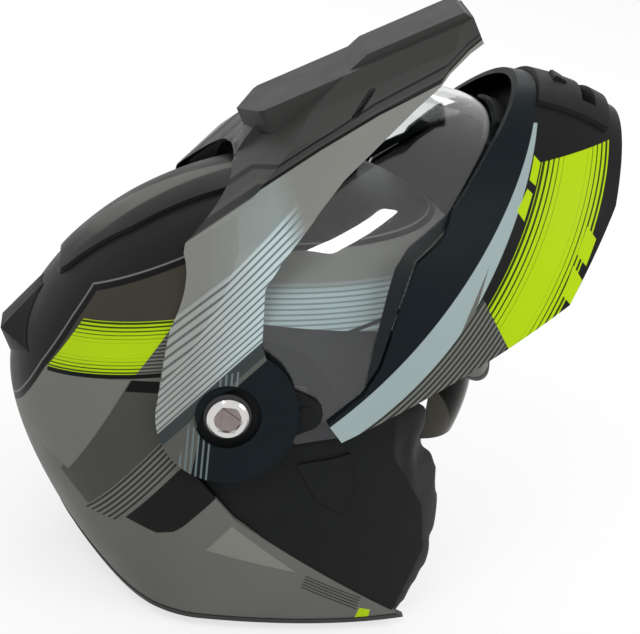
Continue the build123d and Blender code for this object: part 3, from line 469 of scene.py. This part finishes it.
def clear(name, colour, roughness, index, border=None):
    """See-through plastic; border makes the mask of an opaque printed edge band."""
    paint = Paint(name, colour, roughness, Transmission_Weight=1.0, IOR=index)
    paint.rough(roughness, roughness * 2.0, 20.0)
    path = paint.node("LightPath")
    see_through = paint.node("BsdfTransparent")
    see_through.inputs["Color"].default_value = (*colour, 1.0)
    mix = paint.node("MixShader", path.outputs["Is Shadow Ray"], paint.shader.outputs[0],
                     see_through.outputs[0])
    if border:
        print_black = paint.node("BsdfPrincipled")
        print_black.inputs["Base Color"].default_value = (*srgb(18, 23, 25), 1.0)
        print_black.inputs["Roughness"].default_value = 0.2
        print_black.inputs["Specular IOR Level"].default_value = 0.15
        mix = paint.node("MixShader", border(paint), mix.outputs[0], print_black.outputs[0])
    paint.tree.links.new(mix.outputs[0], paint.output.inputs["Surface"])
    return paint.material


def shield_border(paint):
    """Black band along the lower edge and the front edge of the raised shield."""
    lower = paint.least((128.4, 280.7), (85.9, 243.5), (79.8, 232.6), (77.3, 218.9),
                        (74.1, 191.7), (72.0, 150.0))
    front = paint.across((133.7, 304.6), (131.5, 285.5))
    fore = paint.both(paint.over(front), paint.over(paint.dot(to_front), 128.0))
    return paint.math("MAXIMUM", paint.over(lower), fore)


clear_shield = clear("clear_shield", (0.90, 0.92, 0.92), 0.015, 1.45, shield_border)
smoked_visor = clear("smoked_visor", (0.040, 0.037, 0.029), 0.03, 1.06)


def make_foam():
    tone = (0.03, 0.03, 0.03)
    paint = Paint("foam", tone, 0.8)
    cells = paint.node("TexVoronoi", paint.place)
    cells.inputs["Scale"].default_value = 330.0
    paint.bump(cells.outputs["Distance"], 0.00015)
    paint.worn(tone)
    return paint.material


def make_fabric():
    tone = (0.012, 0.012, 0.0125)
    paint = Paint("liner_fabric", tone, 0.9, Sheen_Weight=0.1, Sheen_Roughness=0.5,
                  Specular_IOR_Level=0.2)
    cells = paint.node("TexVoronoi", paint.place)
    cells.inputs["Scale"].default_value = 900.0
    paint.bump(cells.outputs["Distance"], 0.00016)
    paint.bump(paint.noise(60.0, 3.0), 0.0005)
    paint.worn(tone, 0.25)
    return paint.material


def make_webbing():
    tone = (0.02, 0.02, 0.02)
    paint = Paint("webbing", tone, 0.75, Sheen_Weight=0.3)
    checks = paint.node("TexChecker", paint.place)
    checks.inputs["Scale"].default_value = 700.0
    paint.bump(checks.outputs["Fac"], 0.0003)
    paint.worn(tone, 0.2)
    return paint.material


foam = make_foam()
liner_fabric = make_fabric()
webbing = make_webbing()

by_slot = {"shell_paint": shell_paint, "chin_paint": chin_paint, "peak_paint": peak_paint,
           "fairing_paint": fairing_paint, "black_plastic": black_plastic,
           "black_liner": black_liner, "black_rubber": black_rubber, "steel": steel,
           "chrome": chrome, "clear_shield": clear_shield, "smoked_visor": smoked_visor,
           "foam": foam, "liner_fabric": liner_fabric, "webbing": webbing}


def paint_nodes():
    for part in frame["record"]["subparts"]:
        slots = nodes[part["node"]].data.materials
        slots.clear()
        slots.append(by_slot[part["material_slot"]])


paint_nodes()


def evaluated_mesh(piece):
    graph = bpy.context.evaluated_depsgraph_get()
    return bpy.data.meshes.new_from_object(piece.evaluated_get(graph))


def bake_modifiers(piece):
    mesh = evaluated_mesh(piece)
    piece.modifiers.clear()
    piece.data = mesh


def smooth(piece):
    for polygon in piece.data.polygons:
        polygon.use_smooth = True


# Soft pieces: rounds of smoothing before and after the cloth swells
soft_rounds, calm_rounds = 3, 4


def even_out(piece, rounds):
    """Smooth the mesh, each point moved half way to its neighbours a round."""
    even = piece.modifiers.new("even", "SMOOTH")
    even.factor, even.iterations = 0.5, rounds
    bake_modifiers(piece)


def soft_start(node, voxel, shrink):
    """Even mesh in the place of a soft solid, a little inside it."""
    piece = bpy.data.objects.new(node + "_fabric", nodes[node].data.copy())
    bpy.context.scene.collection.objects.link(piece)
    remesh = piece.modifiers.new("remesh", "REMESH")
    remesh.mode = "VOXEL"
    remesh.voxel_size = voxel
    bake_modifiers(piece)
    even_out(piece, soft_rounds)
    for vertex in piece.data.vertices:
        vertex.co = vertex.co - shrink * vertex.normal
    return piece


def swell(pieces, pressure=4.0, reach=0.004, last_frame=20):
    """Blow the pieces up as closed bags of cloth, no point further than the reach."""
    for piece in pieces:
        cloth = piece.modifiers.new("cloth", "CLOTH").settings
        cloth.use_pressure = True
        cloth.uniform_pressure_force = pressure
        cloth.effector_weights.gravity = 0.0
        cloth.quality = 3
    for number in range(1, last_frame + 1):
        bpy.context.scene.frame_set(number)
    for piece in pieces:
        before = [vertex.co.copy() for vertex in piece.data.vertices]
        bake_modifiers(piece)
        for vertex, start in zip(piece.data.vertices, before):
            move = vertex.co - start
            if move.length > reach:
                vertex.co = start + move * (reach / move.length)
        even_out(piece, calm_rounds)
    bpy.context.scene.frame_set(1)


def press(piece, distance, depth, width):
    """Sewn channel: points near the seam sink along their normals, metres."""
    for vertex in piece.data.vertices:
        off = distance(vertex.co)
        if off < 3 * width:
            vertex.co = vertex.co - depth * exp(-(off / width) ** 2) * vertex.normal


def beside(a, b):
    """Distance from the segment a to b of the side view, mm in and metres out."""
    start, end = Vector((a[0], 0, a[1])) / per_metre, Vector((b[0], 0, b[1])) / per_metre
    line = end - start

    def distance(point):
        flat = Vector((point.x, 0, point.z))
        share = max(0.0, min(1.0, (flat - start).dot(line) / line.length_squared))
        return (flat - start - share * line).length
    return distance


def subdivide(piece):
    made = piece.modifiers.new("smooth", "SUBSURF")
    made.levels = made.render_levels = 1
    bake_modifiers(piece)
    smooth(piece)


# Voxel size, inward start and fill of each soft piece, metres
soft_sizes = {"cheek_pad_right": (0.0045, 0.0002, 0.8), "cheek_pad_left": (0.0045, 0.0002, 0.8),
              "neck_roll": (0.005, 0.0016, 0.7), "comfort_liner": (0.0035, 0.0006, 0.4)}
# Seams: ends in the side view in mm, depths and widths in metres
pad_seams = (((56.0, 60.0), (150.0, 55.0)), ((106.0, 124.0), (120.0, 60.0)))
pad_seam_depth, pad_seam_width = 0.0022, 0.0032
roll_seams, roll_middle = 9, Vector((0.04, 0, 0))
roll_seam_depth, roll_seam_width = 0.002, 0.003
channel_pitch, channel_depth, channel_width = 0.034, 0.0012, 0.003


def off_channel(point):
    """Distance from the nearest of the liner's channels, which run front to rear."""
    return abs((point.y / channel_pitch + 0.5) % 1.0 - 0.5) * channel_pitch


def make_soft_pieces():
    pieces = {node: soft_start(node, voxel, shrink)
              for node, (voxel, shrink, fill) in soft_sizes.items()}
    swell([pieces[node] for node in ("cheek_pad_right", "cheek_pad_left", "neck_roll")])
    for node in ("cheek_pad_right", "cheek_pad_left"):
        for a, b in pad_seams:
            press(pieces[node], beside(a, b), pad_seam_depth, pad_seam_width)
    for number in range(roll_seams):
        turn = radians(90 + 180 * (number + 0.5) / roll_seams)
        across = Vector((-sin(turn), cos(turn), 0))
        press(pieces["neck_roll"], lambda point: abs((point - roll_middle).dot(across)),
              roll_seam_depth, roll_seam_width)
    press(pieces["comfort_liner"], off_channel, channel_depth, channel_width)
    for node, piece in pieces.items():
        subdivide(piece)
        piece.data.materials.clear()
        piece.data.materials.append(liner_fabric)
        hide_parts(node)
        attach(piece, "helmet")


make_soft_pieces()


def build(name, made, material):
    """Object of the finished mesh, its faces turned outwards."""
    bmesh.ops.recalc_face_normals(made, faces=made.faces)
    mesh = bpy.data.meshes.new(name)
    made.to_mesh(mesh)
    made.free()
    mesh.materials.append(material)
    piece = bpy.data.objects.new(name, mesh)
    bpy.context.scene.collection.objects.link(piece)
    return piece


# Chin strap, as in the frame: metres
strap_origin = Vector((-0.005, 0.0, 0.109))
strap_drop = radians(38.0)
strap_width, strap_wall = 0.024, 0.002
strap_start_side, strap_side = 0.1016, 0.057
strap_turn, strap_bend = 0.045, 0.089
strap_along = Vector((cos(strap_drop), 0, -sin(strap_drop)))
strap_across = Vector((sin(strap_drop), 0, cos(strap_drop)))
strap_corner, corner_steps, straight_steps, bend_steps = 0.008, 6, 8, 18
webbing_points, webbing_ribs, rib_depth, edge_share = 24, 5, 0.14, 0.25
stitch_pitch, stitch_start, stitch_row, stitches = 0.0026, 0.028, 0.008, 6
stitch_half, stitch_rise, stitch_lift = 0.0009, 0.00035, 0.0001


def strap_route():
    """Points along the middle of the webbing in its own plane, corners eased."""
    start, knee = Vector((0, strap_start_side)), Vector((strap_turn, strap_side))
    before = knee - strap_corner * (knee - start).normalized()
    after = knee + Vector((strap_corner, 0))
    half = [start.lerp(before, i / straight_steps) for i in range(straight_steps)]
    for i in range(corner_steps + 1):
        t = i / corner_steps
        half.append((1 - t) ** 2 * before + 2 * t * (1 - t) * knee + t ** 2 * after)
    half += [after.lerp(Vector((strap_bend, strap_side)), i / straight_steps)
             for i in range(1, straight_steps + 1)]
    for i in range(1, bend_steps + 1):
        turn = radians(90 - 90 * i / bend_steps)
        half.append(Vector((strap_bend + strap_side * cos(turn), strap_side * sin(turn))))
    return half + [Vector((point.x, -point.y)) for point in reversed(half[:-1])]


def webbing_section():
    """Outline of flat webbing with woven ribs along it."""
    top = []
    for i in range(webbing_points + 1):
        share = i / webbing_points
        w = strap_width * (share - 0.5)
        edge = min(1.0, 4 * (1 - abs(2 * share - 1)) + edge_share)
        rib = 1 - rib_depth * (1 - abs(sin(radians(180.0 * webbing_ribs * share))))
        top.append((w, strap_wall / 2 * edge * rib))
    return top + [(w, -t) for w, t in reversed(top)]


def place_on_strap(point, normal, w, t):
    """Place in the frame of a point w across the webbing and t off its middle."""
    flat = point + normal * t
    return strap_origin + strap_along * flat.x + Vector((0, flat.y, 0)) + strap_across * w


def strap_normals(route):
    """Unit normal of the route at each of its points, in the strap's plane."""
    normals = []
    for i, point in enumerate(route):
        way = (route[min(i + 1, len(route) - 1)] - route[max(i - 1, 0)]).normalized()
        normals.append(Vector((-way.y, way.x)))
    return normals


def add_stitch(made, point, normal, way, w, side):
    """One raised stitch on a side of the webbing, along its length."""
    raised = side * (strap_wall / 2 + stitch_lift)
    ends = [(point - way * stitch_half, w, 0.0), (point + way * stitch_half, w, 0.0),
            (point, w - stitch_rise, 0.0), (point, w + stitch_rise, 0.0),
            (point, w, stitch_rise * side)]
    tail, tip, low, high, top = [made.verts.new(place_on_strap(at, normal, across, raised + lift))
                                 for at, across, lift in ends]
    for trio in ((tail, low, top), (low, tip, top), (tip, high, top), (high, tail, top)):
        made.faces.new(trio)
    made.faces.new((tail, high, tip, low))


def make_strap():
    route = strap_route()
    normals = strap_normals(route)
    section = webbing_section()
    made = bmesh.new()
    rings = [[made.verts.new(place_on_strap(point, normal, w, t)) for w, t in section]
             for point, normal in zip(route, normals)]
    for ring, following in zip(rings, rings[1:]):
        for i in range(len(section)):
            j = (i + 1) % len(section)
            made.faces.new((ring[i], ring[j], following[j], following[i]))
    made.faces.new(rings[0])
    made.faces.new(list(reversed(rings[-1])))
    way = Vector((strap_turn, strap_side - strap_start_side)).normalized()
    for end in (1, -1):
        mirror = Vector((1, end))
        for row in (-stitch_row, stitch_row):
            for number in range(stitches):
                point = (Vector((0, strap_start_side))
                         + way * (stitch_start + stitch_pitch * number))
                normal = Vector((-way.y, way.x))
                for face in (1, -1):
                    add_stitch(made, point * mirror, normal * mirror, way * mirror, row, face)
    strap = build("chin_strap_webbing", made, webbing)
    smooth(strap)
    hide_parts("chin_strap")
    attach(strap, "helmet")


make_strap()


# Side linings: thin fabric behind the joint of the shell and the side frames, metres
lining_outline = ((-0.022, 0.106), (-0.018, 0.076), (0.004, 0.066), (0.030, 0.062),
                  (0.040, 0.080), (0.036, 0.112), (0.006, 0.118))
lining_face, lining_wall, lining_crown, lining_ripple = 0.1030, 0.0009, 0.001, 0.0002
lining_rings, lining_steps, ripple_rate = 10, 4, 40.0


def make_side_lining(name, side):
    """Thin rippled sheet, crowned by a millimetre in the middle."""
    corners = [Vector((x, 0, z)) for x, z in lining_outline]
    middle = sum(corners, Vector()) / len(corners)
    edge = [a.lerp(b, step / lining_steps) for a, b in zip(corners, corners[1:] + corners[:1])
            for step in range(lining_steps)]
    count = len(edge)
    made = bmesh.new()
    rims = []
    for offset in (0.0, lining_wall):
        rings = []
        for ring in range(1, lining_rings + 1):
            share = ring / lining_rings
            crown = lining_crown * (1 - share ** 2) + lining_ripple * sin(share * ripple_rate)
            places = [middle.lerp(point, share) for point in edge]
            rings.append([made.verts.new((place.x, side * (lining_face - offset - crown), place.z))
                          for place in places])
        centre = made.verts.new(
            (middle.x, side * (lining_face - offset - lining_crown), middle.z))
        for i in range(count):
            made.faces.new((centre, rings[0][i], rings[0][(i + 1) % count]))
        for inner, outer in zip(rings, rings[1:]):
            for i in range(count):
                j = (i + 1) % count
                made.faces.new((inner[i], outer[i], outer[j], inner[j]))
        rims.append(rings[-1])
    for i in range(count):
        j = (i + 1) % count
        made.faces.new((rims[0][i], rims[0][j], rims[1][j], rims[1][i]))
    lining = build(name, made, liner_fabric)
    smooth(lining)
    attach(lining, "helmet")


make_side_lining("side_lining_right", -1)
make_side_lining("side_lining_left", 1)


# Grilles under the slots of the peak, metres
grille_middle = Vector((0.0560, 0.0495, 0.3073))
grille_way = Vector((0.46, -0.66, 0.58))
grille_normal = Vector((-0.51, 0.28, 0.81)).normalized()
grille_length, grille_width, grille_wall, grille_ribs = 0.030, 0.010, 0.0008, 9
grille_gap, grille_relief, grille_steps, grille_rows = 0.0003, 0.0002, 72, 6


def make_grille(name, side):
    """Thin ribbed plate with rounded ends against the inner face of the peak."""
    along = (grille_way - grille_way.dot(grille_normal) * grille_normal).normalized()
    across = grille_normal.cross(along)
    made = bmesh.new()
    steps, rows, top, bottom = grille_steps, grille_rows, [], []
    for i in range(steps + 1):
        share = 2 * i / steps - 1
        half = grille_width / 2 * (1 - abs(share) ** 12) ** 0.5 + grille_relief
        rib = grille_relief * cos(radians(360 * grille_ribs * i / steps))
        for layer, depth in ((top, grille_gap - rib), (bottom, grille_wall + grille_gap - rib)):
            row = []
            for j in range(rows + 1):
                place = (grille_middle + along * share * grille_length / 2
                         + across * half * (2 * j / rows - 1) - grille_normal * depth)
                row.append(made.verts.new((place.x, place.y * side, place.z)))
            layer.append(row)
    for layer in (top, bottom):
        for row, following in zip(layer, layer[1:]):
            for j in range(rows):
                made.faces.new((row[j], row[j + 1], following[j + 1], following[j]))
    rim = [(i, 0) for i in range(steps)] + [(steps, j) for j in range(rows)]
    rim += [(i, rows) for i in range(steps, 0, -1)] + [(0, j) for j in range(rows, 0, -1)]
    for (a, b), (c, d) in zip(rim, rim[1:] + rim[:1]):
        made.faces.new((top[a][b], top[c][d], bottom[c][d], bottom[a][b]))
    grille = build(name, made, black_plastic)
    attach(grille, "peak")


make_grille("peak_grille_right", -1)
make_grille("peak_grille_left", 1)


# Shares of white: floor and world as a camera, gloss or glass sees them, world as a light
floor_glow, world_seen, world_light = 0.72, 1.0, 0.75
floor_reach = 12.0


def make_stage():
    """Matt floor that shows nearly white without lighting the object as white would."""
    mesh = bpy.data.meshes.new("floor")
    made = bmesh.new()
    bmesh.ops.create_grid(made, x_segments=1, y_segments=1, size=floor_reach)
    made.to_mesh(mesh)
    made.free()
    floor = bpy.data.objects.new("floor", mesh)
    bpy.context.scene.collection.objects.link(floor)
    paint = Paint("floor", (0.86, 0.86, 0.86), 0.9)
    path = paint.node("LightPath")
    glow = paint.node("Emission")
    glow.inputs["Color"].default_value = (1.0, 1.0, 1.0, 1.0)
    seen = paint.math("MAXIMUM", path.outputs["Is Camera Ray"], path.outputs["Is Glossy Ray"])
    seen = paint.math("MAXIMUM", seen, path.outputs["Is Transmission Ray"])
    seen = paint.math("MULTIPLY", seen, floor_glow)
    mix = paint.node("MixShader", seen, paint.shader.outputs[0], glow.outputs[0])
    paint.tree.links.new(mix.outputs[0], paint.output.inputs["Surface"])
    mesh.materials.append(paint.material)


def make_world():
    """White world that lights the object less than it shows."""
    world = bpy.data.worlds.new("studio")
    bpy.context.scene.world = world
    world.use_nodes = True
    tree = world.node_tree
    background = tree.nodes["Background"]
    path = tree.nodes.new("ShaderNodeLightPath")
    seen = path.outputs["Is Camera Ray"]
    for ray in ("Is Glossy Ray", "Is Transmission Ray"):
        either = tree.nodes.new("ShaderNodeMath")
        either.operation = "MAXIMUM"
        tree.links.new(seen, either.inputs[0])
        tree.links.new(path.outputs[ray], either.inputs[1])
        seen = either.outputs[0]
    strength = tree.nodes.new("ShaderNodeMapRange")
    strength.inputs["To Min"].default_value = world_light
    strength.inputs["To Max"].default_value = world_seen
    tree.links.new(seen, strength.inputs["Value"])
    tree.links.new(strength.outputs[0], background.inputs["Strength"])
    background.inputs["Color"].default_value = (1.0, 1.0, 1.0, 1.0)


def area_lamp(name, size, watts):
    data = bpy.data.lights.new(name, "AREA")
    data.shape = "RECTANGLE"
    data.size, data.size_y = size
    data.energy = watts
    made = bpy.data.objects.new(name, data)
    bpy.context.scene.collection.objects.link(made)
    return made


def lamp(name, place, target, size, watts):
    made = area_lamp(name, size, watts)
    made.location = place
    made.rotation_euler = (Vector(place) - Vector(target)).to_track_quat("Z", "Y").to_euler()


def strip_lamp(start, end, target, width, watts):
    """Narrow lamp from start to end that faces the target."""
    start, end = Vector(start), Vector(end)
    along = (end - start).normalized()
    back = ((start + end) / 2 - Vector(target)).normalized()
    back = (back - back.dot(along) * along).normalized()
    made = area_lamp("strip", ((end - start).length, width), watts)
    made.matrix_world = Matrix.Translation((start + end) / 2) @ Matrix(
        (along, back.cross(along), back)).transposed().to_4x4()


make_stage()
make_world()
# Lamps: places and sizes in metres, watts; the strip gives the white band in the shield
helmet_middle, shield_middle = (0.05, 0.0, 0.2), (0.05, -0.09, 0.25)
lamp("key", (-0.7, -1.7, 1.9), helmet_middle, (0.9, 0.9), 22.5)
lamp("fill", (1.8, -1.0, 1.3), helmet_middle, (1.0, 1.0), 10.5)
lamp("back", (0.2, 1.8, 1.8), helmet_middle, (1.2, 0.8), 12.5)
strip_lamp((0.48, -1.46, 0.88), (0.64, -1.08, 1.46), shield_middle, 0.05, 3.6)
